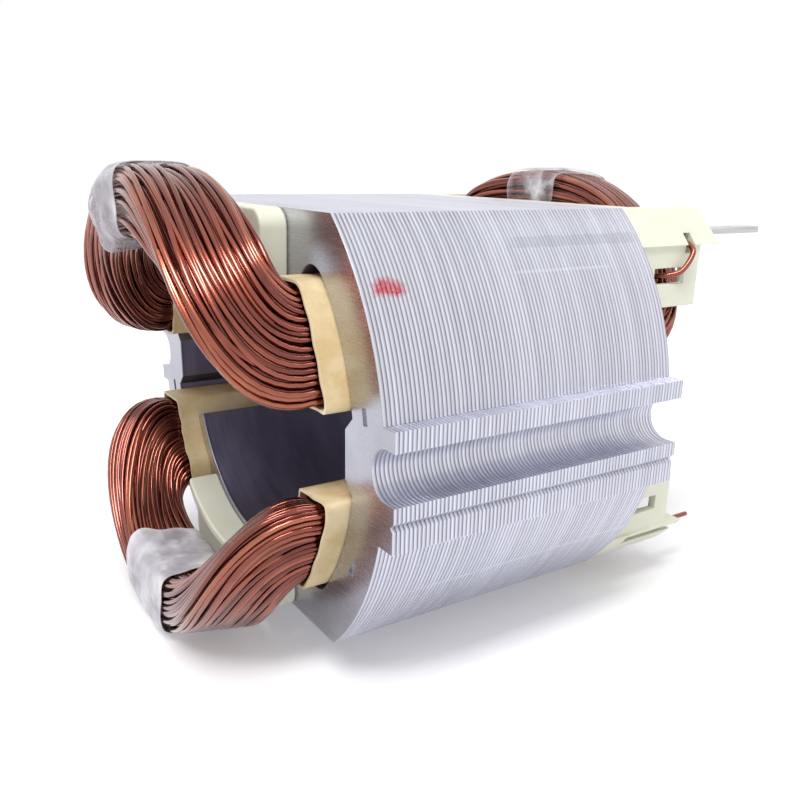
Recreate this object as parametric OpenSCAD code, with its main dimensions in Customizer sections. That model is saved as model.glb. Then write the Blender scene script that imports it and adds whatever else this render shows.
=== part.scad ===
// Two-pole field stator of a series motor: a stamped sheet stack with two wound field coils.
// X runs along the rotor bore, Z is up, and the origin is on the bore axis at mid-stack.
// The front end is at -X, the lead end at +X, the near side at -Y.

/* [Sheet stack] */
// Number of stamped sheets
sheet_count = 80; // [40:1:120]
// Thickness of one sheet
sheet_t = 0.5; // [0.35:0.05:0.65]
// Diameter over the side arcs
stack_d = 64.4; // [62:0.2:84]
// Depth of the top and bottom flats below the round
flat_depth = 8.6; // [6:0.1:10]
// Radial thickness of the yoke at the sides
yoke_t = 5.8; // [4:0.1:7]
// Corner radius at the closed end of each slot
slot_fillet = 2.8; // [1.5:0.1:3]
// Height of the coil side's lower edge above the bore axis
slot_low = 4.6; // [4.2:0.1:6]
// Depth of the coil side's upper edge below the flat
slot_drop = 6.4; // [5.6:0.1:8]

/* [Poles] */
// Rotor bore diameter
bore_d = 36; // [28:0.2:44]
// Width of each pole body
pole_w = 30; // [24:0.2:32]
// Radial thickness of the pole horns
horn_t = 2; // [1.5:0.1:2.6]
// Angle of the pole tips above the horizontal
tip_angle = 21; // [18:0.5:28]

/* [Side ribs] */
// Height of the ribs above the round
rib_proud = 1.7; // [0.8:0.1:3]
// Width of each rib
rib_w = 2.2; // [1.5:0.1:4]
// Width of the screw groove between the ribs
groove_w = 5.4; // [4:0.1:6.4]
// Depth of the screw groove below the rib face
groove_depth = 4.1; // [3.2:0.1:4.6]
// Width of the locating lug beside one rib
lug_w = 2.8; // [1.5:0.1:5]
// Step of the lug face below the rib face
lug_step = 0.2; // [0.1:0.1:1]
// Width of the notch between rib and lug
notch_w = 0.8; // [0.4:0.1:1.2]
// Yoke wall kept behind the groove
bump_wall = 5.2; // [4:0.1:6]

/* [Interlocks] */
// Length of a stamped interlock mark
interlock_l = 1.8; // [1:0.1:3]
// Width of an interlock mark
interlock_w = 0.8; // [0.5:0.1:1.2]
// Depth of an interlock mark
interlock_h = 0.3; // [0.1:0.05:0.45]
// Angle of the upper interlock above the horizontal
interlock_up = 9.8; // [9:0.2:14]
// Angle of the lower interlock below the horizontal
interlock_down = 25.3; // [20:0.2:40]

/* [Slot liners] */
// Paper thickness
paper_t = 0.3; // [0.2:0.05:0.5]
// Length of the collar past each end of the stack
collar = 2.9; // [2:0.1:5]
// Gap between the liner and the slot wall
liner_gap = 0.1; // [0.05:0.05:0.3]
// Gap between the coil and the liner
coil_gap = 0.2; // [0.1:0.05:0.5]

/* [Field coils] */
// Distance of the front crown's middle past the slot liners
front_out = 6.7; // [6:0.1:9]
// Distance of the rear crown's middle past the slot liners
rear_out = 6; // [5.6:0.1:9]
// Height of the crown's middle above the flat
crown_rise = 0.2; // [-1:0.1:3]
// Width of the winding across the crown
crown_w = 9; // [7:0.1:10]
// Thickness of the winding at the crown
crown_t = 8; // [6:0.1:8.4]
// Straight reach of the longest turns out of the slot
long_reach = 15; // [10:0.5:17]
// Straight reach of the turns under them
inner_reach = 5; // [4:0.5:8]
// Straight reach of the shortest turns
short_reach = 3.2; // [2:0.1:5]
// Half-width of the flat top of the front crown
front_flat = 14.5; // [10:0.5:16]
// Half-width of the flat top of the rear crown
rear_flat = 17.5; // [12:0.5:18]
// Lift of the longest front turns as they leave the slot
front_long_lift = -1.5; // [-3:0.5:1]
// Lift of the shortest front turns as they leave the slot
front_short_lift = 1; // [0:0.5:4]
// Lift of the longest rear turns as they leave the slot
rear_long_lift = 1; // [-1:0.5:3]
// Lift of the shortest rear turns as they leave the slot
rear_short_lift = 2.5; // [0:0.5:4]
// Widening of the front bundle between slot and crown, as a share of its width
front_spread = 0.15; // [0:0.01:0.3]
// Widening of the rear bundle between slot and crown, as a share of its width
rear_spread = 0.25; // [0:0.01:0.3]
// Strands drawn across the wide face
strands_wide = 10; // [6:1:14]
// Strands drawn across the narrow face
strands_thick = 4; // [3:1:6]
// Depth of the lines between strands, as a share of the half-section
strand_line = 0.06; // [0:0.01:0.1]

/* [Crown tapes] */
// Width of a front tape, in steps of the turn
front_tape_cells = 4; // [2:1:5]
// Width of a rear tape, in steps of the turn
rear_tape_cells = 3; // [2:1:5]
// Start of the top front tape past the crown's middle, in steps of the turn
front_top_start = 0; // [-4:1:1]
// Start of the bottom front tape past the crown's middle, in steps of the turn
front_bottom_start = -3; // [-4:1:1]
// Start of a rear tape past the crown's middle, in steps of the turn
rear_tape_start = -2; // [-3:1:1]
// Gap under a tape, as a share of the half-section
tape_gap = 0.05; // [0.05:0.01:0.08]
// Thickness of a tape, as a share of the half-section
tape_t = 0.06; // [0.04:0.01:0.1]

/* [End insulators] */
// Thickness of an insulator plate
plate_t = 3.2; // [2.5:0.1:3.6]
// Setback of the plate's sides from the pole's sides
plate_setback = 2.4; // [1.5:0.1:5]
// Narrowing of each side of the plate towards the bore
plate_taper = 1; // [0:0.1:2]
// Setback of the plate from the bore
bore_setback = 0.6; // [0.3:0.1:1]
// Radial thickness of the lip along the bore
lip_t = 1.3; // [0.8:0.1:1.8]
// Reach of the lip past the stack
lip_reach = 4.2; // [3.8:0.1:5]
// Radius of the plate's outer corners
plate_corner = 2; // [0.5:0.1:3]

/* [Terminal posts] */
// Reach of a post past the stack
post_reach = 14.5; // [13:0.1:18]
// Gap between a post and the coil side's upper edge
post_gap = 0.55; // [0.45:0.05:0.8]
// Height of a post below the flat
post_h = 4.4; // [3.6:0.1:4.6]
// Thickness of the arm that carries a post
arm_t = 3; // [2:0.1:3.2]
// Setback of the posts inside the round
post_setback = 0.3; // [0.1:0.1:1]
// Gap between the screen below a post and the coil side
screen_gap = 0.85; // [0.7:0.05:1.1]
// Thickness of that screen
screen_t = 1.2; // [1:0.1:1.4]
// Depth of the screen below the flat
screen_h = 12; // [10:0.1:12.4]
// Reach of the screen past the stack
screen_reach = 11.5; // [11:0.1:13]
// Length of the lead window in the screen
window_l = 5.5; // [4:0.1:6]
// Height of the lead window
window_h = 2; // [1.6:0.1:2.4]
// Depth of the window's middle below the flat
window_drop = 8.1; // [7.8:0.1:8.4]

/* [Terminals and leads] */
// Width of a terminal tab
tab_w = 2.8; // [2:0.1:3]
// Thickness of a terminal tab
tab_t = 0.8; // [0.5:0.1:0.9]
// Length of a tab past its post
tab_out = 11.5; // [4:0.1:13]
// Length of a tab inside its post
tab_in = 6.5; // [5:0.1:8]
// Bevel of a tab's end corners
tab_bevel = 0.7; // [0.3:0.1:0.9]
// Diameter of a tab's latch hole
tab_hole = 1.1; // [0.8:0.1:1.4]
// Gap between a tab and its pocket
tab_gap = 0.05; // [0.02:0.01:0.15]
// Distance of a tab's middle from its post's inner side
tab_inset = 1.8; // [1.7:0.05:1.9]
// Height of a tab's middle below the flat
tab_drop = 3; // [2.9:0.1:3.2]
// Lead wire diameter
lead_d = 0.7; // [0.4:0.05:0.8]
// Gap between a lead and its hole
lead_gap = 0.3; // [0.25:0.05:0.4]
// Length of the bare bottom leads past their posts
lead_out = 5; // [2:0.5:12]

/* [Hidden] */
$fn = 96;

// Overshoot of cutting shapes, so that no faces coincide
cut = 1;
stack_len = sheet_count * sheet_t;
stack_r = stack_d / 2;
flat_z = stack_r - flat_depth;
bore_r = bore_d / 2;
horn_r = bore_r + horn_t;
slot_r = stack_r - yoke_t;
pole_half = pole_w / 2;
slot_top = flat_z - slot_drop;

// Ribs, groove and lug
rib_face = stack_r + rib_proud;
rib_half = groove_w / 2 + rib_w;
rib_root = slot_r + yoke_t / 2;
groove_round = groove_w / 2;
groove_mid = rib_face - groove_depth + groove_round;
bump_face = rib_face - groove_depth - bump_wall;
bump_foot = slot_r + cut;
bump_slope = 1;

// Round at the closed end of a slot, tangent to the pole side and to the yoke
fillet_y = pole_half + slot_fillet;
fillet_z = sqrt(pow(slot_r - slot_fillet, 2) - fillet_y * fillet_y);
fillet_stretch = (slot_r + cut) / (slot_r - slot_fillet);
// Overshoot of that round past its tangents, so that no sliver is left there
fillet_over = 0.002;

// Winding section inside the liner
mouth_x = stack_len / 2 + collar;
coil_inset = liner_gap + paper_t + coil_gap;
leg_r_in = horn_r + coil_inset;
leg_r_out = slot_r - coil_inset;
crown_z = flat_z + crown_rise;
corner_power = 5;
turn_steps = 12;
tape_points_wide = 4;
tape_points_thick = 2;
// Each end turn's shape: distance out, half-width of the flat,
// lift of the longest and of the shortest turns, spread
front_end = [front_out, front_flat, front_long_lift, front_short_lift, front_spread];
rear_end = [rear_out, rear_flat, rear_long_lift, rear_short_lift, rear_spread];

// Posts, screens, tabs and lead channels
plate_half = pole_half - plate_setback;
post_top = flat_z;
post_floor = post_top - post_h;
post_end = stack_len / 2 + post_reach;
post_inner = round_y(leg_r_out, slot_top - coil_inset) + post_gap;
screen_y = round_y(leg_r_out, post_top - screen_h) + screen_gap;
tab_y = post_inner + tab_inset;
tab_z = post_top - tab_drop;
pocket_w = tab_w + 2 * tab_gap;
pocket_h = tab_t + 2 * tab_gap;
pocket_end = post_end - tab_in;
channel_w = lead_d + 2 * lead_gap;
notch_x = pocket_end + tab_w / 2;
// Distance of the window past the liners, and of the gate past the stack
window_setback = 0.5;
gate_setback = 4.8;
window_x = mouth_x + window_setback + window_l / 2;
window_z = post_top - window_drop;
gate_x = stack_len / 2 + gate_setback;

// Leads: height on the coil's outer layer, then u and two stations of q where each one lies on it
lead_lift = 0.75 * lead_d;
lead_r = leg_r_out + lead_lift;
lead_v = 1 + lead_lift / (leg_r_out - leg_r_in);
// Depth of the first place of a window's lead below the window
lead_drop = 3.4;
lead_low = asin((slot_low + coil_inset) / lead_r);
window_u = (asin((window_z - lead_drop) / lead_r) - lead_low) / (leg_high(leg_r_out) - lead_low);
window_lead = [window_u, -0.97, -0.9];
gate_lead = [0.9, -0.72, -0.68];
lead_sides = 8;
lead_steps = 4;
lead_side = [0.5, 1, -0.8];

steel = "#b9bdc4";
copper = "#7e3a24";
paper = "#c9ab74";
plastic = "#e9ead2";
film = "#c9c6c2";
tin = "#c4c7ca";

function mix(a, b, t) = a + (b - a) * t;
function unit(v) = v / norm(v);
// Half-width of a circle of radius r at height z
function round_y(r, z) = sqrt(r * r - z * z);

// Outline of one sheet, drawn with the stator's Y to the right and Z up

// Ribs, groove and lug of the near side
module side_ribs_2d() {
    difference() {
        union() {
            translate([-rib_face, -rib_half]) square([rib_face - rib_root, 2 * rib_half]);
            translate([lug_step - rib_face, -rib_half - lug_w])
                square([rib_face - lug_step - rib_root, lug_w + cut]);
        }
        translate([-rib_face, -rib_half]) rotate(45) square(notch_w, center = true);
    }
}

// Round-bottomed groove of the near side
module side_groove_2d() {
    translate([-rib_face - cut, -groove_round]) square([rib_face + cut - groove_mid, groove_w]);
    translate([-groove_mid, 0]) circle(groove_round);
}

module outline_2d() {
    difference() {
        union() {
            intersection() {
                circle(stack_r);
                square([2 * stack_d, 2 * flat_z], center = true);
            }
            for (side = [0, 180]) rotate(side) side_ribs_2d();
        }
        for (side = [0, 180]) rotate(side) side_groove_2d();
    }
}

// Corner left between the pole side, the yoke and the round at the slot's end
module slot_corner_2d(inset) {
    difference() {
        polygon([
            [0, fillet_z],
            [fillet_y, fillet_z],
            [fillet_y * fillet_stretch, fillet_z * fillet_stretch],
            [fillet_y * fillet_stretch, slot_r + cut],
            [0, slot_r + cut]
        ]);
        translate([fillet_y, fillet_z]) circle(slot_fillet + fillet_over - inset);
    }
}

// Room for one coil side in the far upper slot, drawn inwards by the inset
module slot_cell_2d(inset) {
    difference() {
        intersection() {
            circle(slot_r - inset);
            translate([pole_half + inset, slot_low + inset])
                square([stack_r, slot_top - slot_low - 2 * inset]);
        }
        circle(horn_r + inset);
        slot_corner_2d(inset);
    }
}

// Upper pole with its two horns
module pole_2d() {
    reach = 2 * stack_r;
    difference() {
        union() {
            translate([-pole_half, 0]) square([pole_w, flat_z]);
            intersection() {
                circle(horn_r);
                polygon([
                    [0, 0],
                    [reach * cos(tip_angle), reach * sin(tip_angle)],
                    [0, 2 * reach],
                    [-reach * cos(tip_angle), reach * sin(tip_angle)]
                ]);
            }
            for (side = [0, 1]) mirror([side, 0]) slot_corner_2d(0);
        }
        circle(bore_r);
    }
}

// Yoke wall that steps inwards behind the groove
module yoke_bump_2d() {
    top_half = groove_round;
    foot_half = top_half + (bump_foot - bump_face) * bump_slope;
    polygon([
        [-bump_foot, -foot_half], [-bump_face, -top_half],
        [-bump_face, top_half], [-bump_foot, foot_half]
    ]);
}

module sheet_2d() {
    difference() {
        outline_2d();
        circle(slot_r);
    }
    for (side = [0, 180]) rotate(side) {
        intersection() {
            pole_2d();
            circle(stack_r);
            square([2 * stack_d, 2 * flat_z], center = true);
        }
        difference() {
            yoke_bump_2d();
            side_groove_2d();
        }
    }
}

// Extrudes a cross-section along X from one station to another
module along_x(from, to) {
    translate([from, 0, 0]) rotate([90, 0, 90]) linear_extrude(to - from) children();
}

module interlock_2d() {
    for (side = [0, 180], angle = [-interlock_up, interlock_down])
        rotate(side + angle) translate([interlock_w / 2 - slot_r - yoke_t / 2, 0])
            square([interlock_w, interlock_l], center = true);
}

module lamination_stack() {
    color(steel) {
        difference() {
            along_x(-stack_len / 2, stack_len / 2) sheet_2d();
            along_x(-stack_len / 2 - cut, interlock_h - stack_len / 2) interlock_2d();
        }
        along_x(stack_len / 2 - cut, stack_len / 2 + interlock_h) interlock_2d();
    }
}

// Winding: a point of the bundle is given by u across it, from the longest turn to the
// shortest, v through it, from the bore side to the yoke side, and its place along the loop

// Angle of the slot's closed end at radius r: along the pole side, then round the corner
function slot_end(r) =
    let (side = pole_half + coil_inset,
         mid = slot_r - slot_fillet,
         round = slot_fillet - coil_inset)
    r < norm([side, fillet_z])
        ? acos(side / r)
        : atan2(fillet_z, fillet_y) + acos(min(1, (r * r + mid * mid - round * round) / (2 * r * mid)));

// Highest angle of the winding at radius r
function leg_high(r) = min(asin(min(1, (slot_top - coil_inset) / r)), slot_end(r));

// Point [y, z] of the winding in the far upper slot
function leg_point(u, v) =
    let (r = mix(leg_r_in, leg_r_out, v),
         low = asin((slot_low + coil_inset) / r),
         angle = mix(low, leg_high(min(r, leg_r_out)), u))
    [r * cos(angle), r * sin(angle)];

// Point of an end turn, a cubic curve from the slot's mouth to the crown; q runs
// from -1 at the near mouth through 0 at the crown to 1 at the far mouth
function turn_point(u, v, q, end) =
    let (t = 1 - abs(q),
         side = q < 0 ? -1 : 1,
         w = 0.5 + (u - 0.5) * (1 + 4 * t * (1 - t) * end[4]),
         leg = leg_point(w, v),
         end_x = mouth_x + end[0] - (w - 0.5) * crown_w,
         end_z = crown_z + (v - 0.5) * crown_t,
         reach = mix(mix(inner_reach, long_reach, v), short_reach, w),
         lift = mix(end[2], end[3], w),
         a = pow(1 - t, 3),
         b = 3 * pow(1 - t, 2) * t,
         c = 1 - a - b,
         d = 3 * (1 - t) * t * t)
    [a * mouth_x + b * (mouth_x + reach) + c * end_x,
     side * ((a + b) * leg[0] + d * end[1]),
     a * leg[1] + b * (leg[1] + lift) + c * end_z];

// Corners and edge points of a square of half-width 1, taken round once
function square_loop(wide, thick) = concat(
    [for (i = [0 : 2 * wide - 1]) [i / wide - 1, -1]],
    [for (i = [0 : 2 * thick - 1]) [1, i / thick - 1]],
    [for (i = [0 : 2 * wide - 1]) [1 - i / wide, 1]],
    [for (i = [0 : 2 * thick - 1]) [-1, 1 - i / thick]]);

// Pulls a point of that square onto a square with well-rounded corners
function rounded(p) =
    p * pow(pow(abs(p[0]), corner_power) + pow(abs(p[1]), corner_power), -1 / corner_power);

// Bundle section with a line between strands, scaled about its middle
section_loop = square_loop(strands_wide, strands_thick);
function section_uv(k, scale) =
    let (p = rounded(section_loop[k]) * scale * (k % 2 == 0 ? 1 - strand_line : 1))
    [(1 + p[0]) / 2, (1 + p[1]) / 2];

tape_loop = square_loop(tape_points_wide, tape_points_thick);
function tape_uv(k, scale) =
    let (p = rounded(tape_loop[k]) * scale)
    [(1 + p[0]) / 2, (1 + p[1]) / 2];

// Two triangles between neighbouring rings i and j, for ring points k and l
function band(i, j, k, l, count) = [
    [i * count + k, j * count + l, j * count + k],
    [i * count + k, i * count + l, j * count + l]
];

// Closed loop of the winding: rear end turn from near to far, then front end turn back
module coil() {
    count = len(section_loop);
    qs = [for (i = [-turn_steps : turn_steps]) i / turn_steps];
    rear = [for (q = qs) [for (k = [0 : count - 1])
        let (uv = section_uv(k, 1)) turn_point(uv[0], uv[1], q, rear_end)]];
    front = [for (q = qs) [for (k = [0 : count - 1])
        let (uv = section_uv(k, 1), p = turn_point(uv[0], uv[1], -q, front_end)) [-p[0], p[1], p[2]]]];
    rings = concat(rear, front);
    color(copper) polyhedron(
        points = [for (ring = rings, p = ring) p],
        faces = [for (i = [0 : len(rings) - 1], k = [0 : count - 1],
            f = band(i, (i + 1) % len(rings), k, (k + 1) % count, count)) f]);
}

// Film band round an end turn near the middle of its crown, drawn at the rear
module tape(end, start, cells) {
    count = len(tape_loop);
    qs = [for (i = [0 : cells]) (start + i) / turn_steps];
    inner = [for (q = qs) [for (k = [0 : count - 1])
        let (uv = tape_uv(k, 1 + tape_gap)) turn_point(uv[0], uv[1], q, end)]];
    outer = [for (i = [len(qs) - 1 : -1 : 0]) [for (k = [0 : count - 1])
        let (uv = tape_uv(k, 1 + tape_gap + tape_t)) turn_point(uv[0], uv[1], qs[i], end)]];
    rings = concat(outer, inner);
    color(film) polyhedron(
        points = [for (ring = rings, p = ring) p],
        faces = [for (i = [0 : len(rings) - 1], k = [0 : count - 1],
            f = band((i + 1) % len(rings), i, k, (k + 1) % count, count)) f]);
}

// Turns a piece of the top half into the same piece of the bottom half
module bottom_half() {
    rotate([180, 0, 0]) children();
}

module top_coil() {
    coil();
}

module bottom_coil() {
    bottom_half() coil();
}

module rear_tape_top() {
    tape(rear_end, rear_tape_start, rear_tape_cells);
}

module rear_tape_bottom() {
    bottom_half() tape(rear_end, rear_tape_start, rear_tape_cells);
}

module front_tape_top() {
    mirror([1, 0, 0]) tape(front_end, front_top_start, front_tape_cells);
}

module front_tape_bottom() {
    bottom_half() mirror([1, 0, 0]) tape(front_end, front_bottom_start, front_tape_cells);
}

// Paper tube of the far upper slot
module slot_liner() {
    color(paper) along_x(-mouth_x, mouth_x) difference() {
        slot_cell_2d(liner_gap);
        slot_cell_2d(liner_gap + paper_t);
    }
}

module slot_liner_top_far() {
    slot_liner();
}

module slot_liner_top_near() {
    mirror([0, 1, 0]) slot_liner();
}

module slot_liner_bottom_near() {
    bottom_half() slot_liner();
}

module slot_liner_bottom_far() {
    bottom_half() mirror([0, 1, 0]) slot_liner();
}

// Pole-end plate of an insulator, with rounded outer corners
module plate_2d() {
    difference() {
        union() {
            polygon([
                [plate_taper - plate_half, 0], [plate_half - plate_taper, 0],
                [plate_half, flat_z - plate_corner], [-plate_half, flat_z - plate_corner]
            ]);
            translate([plate_corner - plate_half, bore_r])
                square([2 * (plate_half - plate_corner), flat_z - bore_r]);
            for (side = [-1, 1])
                translate([side * (plate_half - plate_corner), flat_z - plate_corner]) circle(plate_corner);
        }
        circle(bore_r + bore_setback);
    }
}

// Lip that keeps the end turns off the rotor
module lip_2d() {
    intersection() {
        plate_2d();
        circle(bore_r + bore_setback + lip_t);
    }
}

module insulator_body() {
    along_x(stack_len / 2, stack_len / 2 + plate_t) plate_2d();
    along_x(stack_len / 2 + plate_t - cut, stack_len / 2 + lip_reach) lip_2d();
}

// Outline of the far terminal post, kept inside the round of the stack
module post_2d() {
    intersection() {
        translate([post_inner, post_floor]) square([stack_r, post_top - post_floor]);
        circle(stack_r - post_setback);
    }
}

// Arm from the plate to the far post
module arm_2d() {
    translate([plate_half - cut, post_top - arm_t]) square([post_inner - plate_half + 2 * cut, arm_t]);
}

// Screen that hangs from the far post beside the coil
module screen_2d() {
    intersection() {
        translate([screen_y, post_top - screen_h]) square([screen_t, screen_h]);
        circle(stack_r - post_setback);
    }
}

// Far post with its arm and its screen, which has a window for a lead
module far_post() {
    along_x(stack_len / 2, post_end) post_2d();
    along_x(stack_len / 2, stack_len / 2 + arm_t) arm_2d();
    difference() {
        along_x(stack_len / 2, stack_len / 2 + screen_reach) screen_2d();
        translate([window_x, screen_y, window_z]) cube([window_l, 4 * screen_t, window_h], center = true);
    }
}

// Far post with a tab pocket and a notch that lets the lead in under the tab
module tab_post() {
    difference() {
        far_post();
        translate([pocket_end - tab_gap, tab_y - pocket_w / 2, tab_z - pocket_h / 2])
            cube([tab_in + tab_gap + cut, pocket_w, pocket_h]);
        translate([notch_x - channel_w / 2, tab_y - lead_gap, post_floor - cut])
            cube([channel_w, stack_r, tab_z - post_floor + cut]);
    }
}

// Far post with a side channel for a bare lead, which comes in through a gate from the coil
module channel_post() {
    difference() {
        far_post();
        translate([gate_x - channel_w / 2, tab_y - channel_w / 2, tab_z - channel_w / 2])
            cube([post_end, stack_r, channel_w]);
        translate([gate_x - channel_w / 2, 0, tab_z - channel_w / 2])
            cube([channel_w, stack_r, channel_w]);
    }
}

module rear_insulator_top() {
    color(plastic) {
        insulator_body();
        for (side = [0, 1]) mirror([0, side, 0]) tab_post();
    }
}

module rear_insulator_bottom() {
    color(plastic) bottom_half() {
        insulator_body();
        for (side = [0, 1]) mirror([0, side, 0]) channel_post();
    }
}

module front_insulator_top() {
    color(plastic) mirror([1, 0, 0]) insulator_body();
}

module front_insulator_bottom() {
    color(plastic) bottom_half() mirror([1, 0, 0]) insulator_body();
}

// Far terminal tab with a bevelled end and a latch hole
module terminal_tab() {
    length = tab_in + tab_out;
    color(tin) translate([pocket_end, tab_y, tab_z - tab_t / 2]) difference() {
        linear_extrude(tab_t) polygon([
            [0, -tab_w / 2], [length - tab_bevel, -tab_w / 2], [length, tab_bevel - tab_w / 2],
            [length, tab_w / 2 - tab_bevel], [length - tab_bevel, tab_w / 2], [0, tab_w / 2]
        ]);
        translate([tab_in + tab_out / 2, 0, -cut]) cylinder(d = tab_hole, h = tab_t + 2 * cut);
    }
}

module terminal_tab_far() {
    terminal_tab();
}

module terminal_tab_near() {
    mirror([0, 1, 0]) terminal_tab();
}

// Tube along a path that nowhere runs along the side direction
module tube(path, d) {
    last = len(path) - 1;
    along = [for (i = [0 : last]) unit(path[min(i + 1, last)] - path[max(i - 1, 0)])];
    rings = [for (i = [0 : last])
        let (side = unit(cross(along[i], lead_side)), up = cross(side, along[i]))
        [for (k = [0 : lead_sides - 1])
            path[i] + d / 2 * (cos(k * 360 / lead_sides) * side + sin(k * 360 / lead_sides) * up)]];
    polyhedron(
        points = [for (ring = rings, p = ring) p],
        faces = concat(
            [for (i = [0 : last - 1], k = [0 : lead_sides - 1],
                f = band(i, i + 1, k, (k + 1) % lead_sides, lead_sides)) f],
            [[for (k = [lead_sides - 1 : -1 : 0]) k]],
            [[for (k = [0 : lead_sides - 1]) last * lead_sides + k]]));
}

// Smooth path through points: each span is a cubic that leaves along the line between its neighbours
function smooth(p) =
    let (last = len(p) - 1)
    concat([for (i = [0 : last - 1], k = [0 : lead_steps - 1])
        let (t = k / lead_steps,
             before = (p[min(i + 1, last)] - p[max(i - 1, 0)]) / 2,
             after = (p[min(i + 2, last)] - p[i]) / 2)
        pow(1 - t, 2) * (1 + 2 * t) * p[i] + t * pow(1 - t, 2) * before
            + t * t * (3 - 2 * t) * p[i + 1] - t * t * (1 - t) * after], [p[last]]);

// Near places where a lead lies on the coil
function lead_start(place) =
    [for (q = [place[1], place[2]]) turn_point(place[0], lead_v, q, rear_end)];

// Lead that leaves through the window, rises beside the screen and ends under its tab
module tab_lead() {
    outside = screen_y + screen_t + lead_d;
    top_z = tab_z - tab_t / 2 - tab_gap - lead_d / 2;
    color(copper) tube(smooth(concat(lead_start(window_lead), [
        [window_x - lead_d, lead_d - screen_y, window_z - lead_d / 2],
        [window_x, -screen_y - screen_t / 2, window_z],
        [window_x + 2 * lead_d, -outside, window_z + lead_d],
        [notch_x - lead_gap / 2, -outside, post_floor - lead_d],
        [notch_x, -screen_y, top_z - lead_d / 4],
        [notch_x, -tab_y, top_z]
    ])), lead_d);
}

// Lead that comes through the gate, turns along the channel and stands out behind the post
module bare_lead() {
    channel_y = tab_y + lead_d / 2;
    color(copper) tube(smooth(concat(lead_start(gate_lead), [
        [gate_x, lead_d - post_inner, tab_z],
        [gate_x, -post_inner, tab_z],
        [gate_x + lead_d / 2, -tab_y, tab_z],
        [gate_x + 4 * lead_d, -channel_y, tab_z],
        [post_end, -channel_y, tab_z],
        [post_end + lead_out, -channel_y, tab_z]
    ])), lead_d);
}

module lead_top_near() {
    tab_lead();
}

module lead_top_far() {
    mirror([0, 1, 0]) tab_lead();
}

module lead_bottom_far() {
    bottom_half() bare_lead();
}

module lead_bottom_near() {
    bottom_half() mirror([0, 1, 0]) bare_lead();
}

lamination_stack();
top_coil();
bottom_coil();
slot_liner_top_near();
slot_liner_top_far();
slot_liner_bottom_near();
slot_liner_bottom_far();
front_insulator_top();
front_insulator_bottom();
rear_insulator_top();
rear_insulator_bottom();
front_tape_top();
front_tape_bottom();
rear_tape_top();
rear_tape_bottom();
terminal_tab_near();
terminal_tab_far();
lead_top_near();
lead_top_far();
lead_bottom_near();
lead_bottom_far();
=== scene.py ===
"""Looks of a two-pole field stator: sheet stack, two wound coils, papers, films, insulators.

Blender metres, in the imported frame: X along the rotor bore, Z up, the front end at -X and the
near side at -Y. Sizes are written in millimetres, and become metres where a mesh is filled.
"""

import bmesh
import bpy
import numpy as np
from mathutils import Matrix, Vector
from mathutils.geometry import tessellate_polygon


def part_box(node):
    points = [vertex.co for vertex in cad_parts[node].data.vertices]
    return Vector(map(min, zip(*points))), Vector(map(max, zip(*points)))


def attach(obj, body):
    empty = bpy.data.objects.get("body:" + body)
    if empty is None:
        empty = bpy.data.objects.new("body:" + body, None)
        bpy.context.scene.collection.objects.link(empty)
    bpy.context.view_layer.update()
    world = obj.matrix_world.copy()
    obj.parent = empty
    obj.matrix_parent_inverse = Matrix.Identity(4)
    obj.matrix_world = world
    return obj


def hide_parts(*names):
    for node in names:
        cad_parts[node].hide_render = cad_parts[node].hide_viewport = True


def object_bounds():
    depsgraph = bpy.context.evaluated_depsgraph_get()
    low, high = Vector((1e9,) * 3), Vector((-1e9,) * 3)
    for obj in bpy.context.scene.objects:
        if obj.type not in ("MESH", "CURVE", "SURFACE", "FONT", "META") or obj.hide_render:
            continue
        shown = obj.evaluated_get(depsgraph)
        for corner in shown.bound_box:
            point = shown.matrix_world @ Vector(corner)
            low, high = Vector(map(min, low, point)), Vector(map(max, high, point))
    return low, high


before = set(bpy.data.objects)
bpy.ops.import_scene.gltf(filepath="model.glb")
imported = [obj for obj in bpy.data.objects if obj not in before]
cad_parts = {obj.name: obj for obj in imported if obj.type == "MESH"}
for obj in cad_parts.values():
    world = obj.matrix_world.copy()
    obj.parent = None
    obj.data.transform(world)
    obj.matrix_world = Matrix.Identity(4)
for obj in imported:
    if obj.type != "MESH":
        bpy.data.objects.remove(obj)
cad_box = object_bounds()
rng = np.random.default_rng(21)

MM = 0.001

# Sheet stack, millimetres; its ends, flats and rib faces come from the frame
stack_low, stack_high = (np.array(corner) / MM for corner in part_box("lamination_stack"))
STACK_END = -stack_low[0]
FLAT_Z = stack_high[2]
RIB_FACE = stack_high[1]
SHEET_T = 0.5
SHEET_COUNT = int(round(2 * STACK_END / SHEET_T))
RIB_PROUD = 1.7
STACK_R = RIB_FACE - RIB_PROUD
YOKE_T = 5.8
SLOT_R = STACK_R - YOKE_T
BORE_R = 18.0
HORN_T = 2.0
HORN_R = BORE_R + HORN_T
POLE_HALF = 15.0
TIP_ANGLE = 21.0
SLOT_FILLET = 2.8
FILLET_Y = POLE_HALF + SLOT_FILLET
FILLET_Z = np.sqrt((SLOT_R - SLOT_FILLET) ** 2 - FILLET_Y**2)
GROOVE_ROUND = 2.7
GROOVE_DEPTH = 4.1
GROOVE_MID = RIB_FACE - GROOVE_DEPTH + GROOVE_ROUND
RIB_W = 2.2
RIB_HALF = GROOVE_ROUND + RIB_W
LUG_W = 2.8
LUG_STEP = 0.2
LUG_FACE = RIB_FACE - LUG_STEP
NOTCH_W = 0.8
NOTCH = NOTCH_W / np.sqrt(2)
BUMP_WALL = 5.2
BUMP_FACE = RIB_FACE - GROOVE_DEPTH - BUMP_WALL

# Edge of one sheet, outside and in the bore: share of its thickness, and how far it dips into the steel
EDGE_STEPS = np.array([(0.0, 0.11), (0.12, 0.0), (0.5, 0.0), (0.9, 0.03)])
BORE_STEPS = np.array([(0.0, 0.03), (0.2, 0.0)])
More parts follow.
